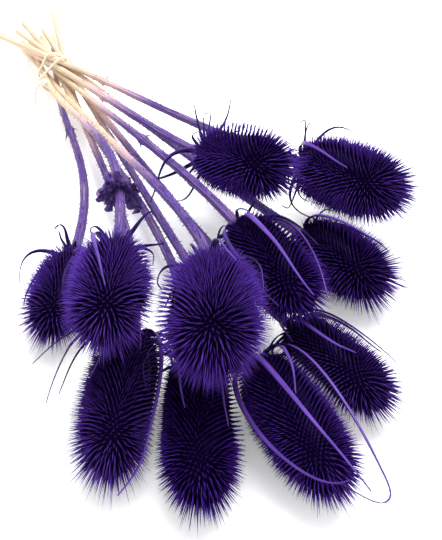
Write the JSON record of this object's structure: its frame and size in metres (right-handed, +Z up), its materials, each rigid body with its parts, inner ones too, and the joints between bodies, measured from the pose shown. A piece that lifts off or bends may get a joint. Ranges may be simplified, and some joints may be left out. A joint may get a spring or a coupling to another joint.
{
  "type": "tied bunch of dried teasel seed heads",
  "caption": "Lying bunch of dried, violet-dyed teasels: spiny ovoid seed heads with long curved bracts on prickly stems, tied with string near the cut ends.",
  "frame": {"origin": "middle of the bounding box, on the surface the bunch lies on", "axes": "+Z up from the surface, +Y along the bunch from the heads to the cut stem ends, +X to the right of a viewer who stands at the heads"},
  "size_m": [0.2228, 0.4504, 0.0862],
  "materials": {
    "dyed_head": "matt dried plant, dyed violet",
    "dyed_stem": "satin dried stem, dyed lilac fading to straw",
    "string": "matt natural string"
  },
  "bodies": {
    "root": {"teasel_head_01": "dyed_head", "teasel_head_02": "dyed_head", "teasel_head_03": "dyed_head", "teasel_head_04": "dyed_head", "teasel_head_05": "dyed_head", "teasel_head_06": "dyed_head", "teasel_head_07": "dyed_head", "teasel_head_08": "dyed_head", "teasel_head_09": "dyed_head", "teasel_head_10": "dyed_head", "teasel_head_11": "dyed_head", "teasel_stem_01": "dyed_stem", "teasel_stem_02": "dyed_stem", "teasel_stem_03": "dyed_stem", "teasel_stem_04": "dyed_stem", "teasel_stem_05": "dyed_stem", "teasel_stem_06": "dyed_stem", "teasel_stem_07": "dyed_stem", "teasel_stem_08": "dyed_stem", "teasel_stem_09": "dyed_stem", "teasel_stem_10": "dyed_stem", "teasel_stem_11": "dyed_stem", "tie": "string"}
  },
  "joints": []
}
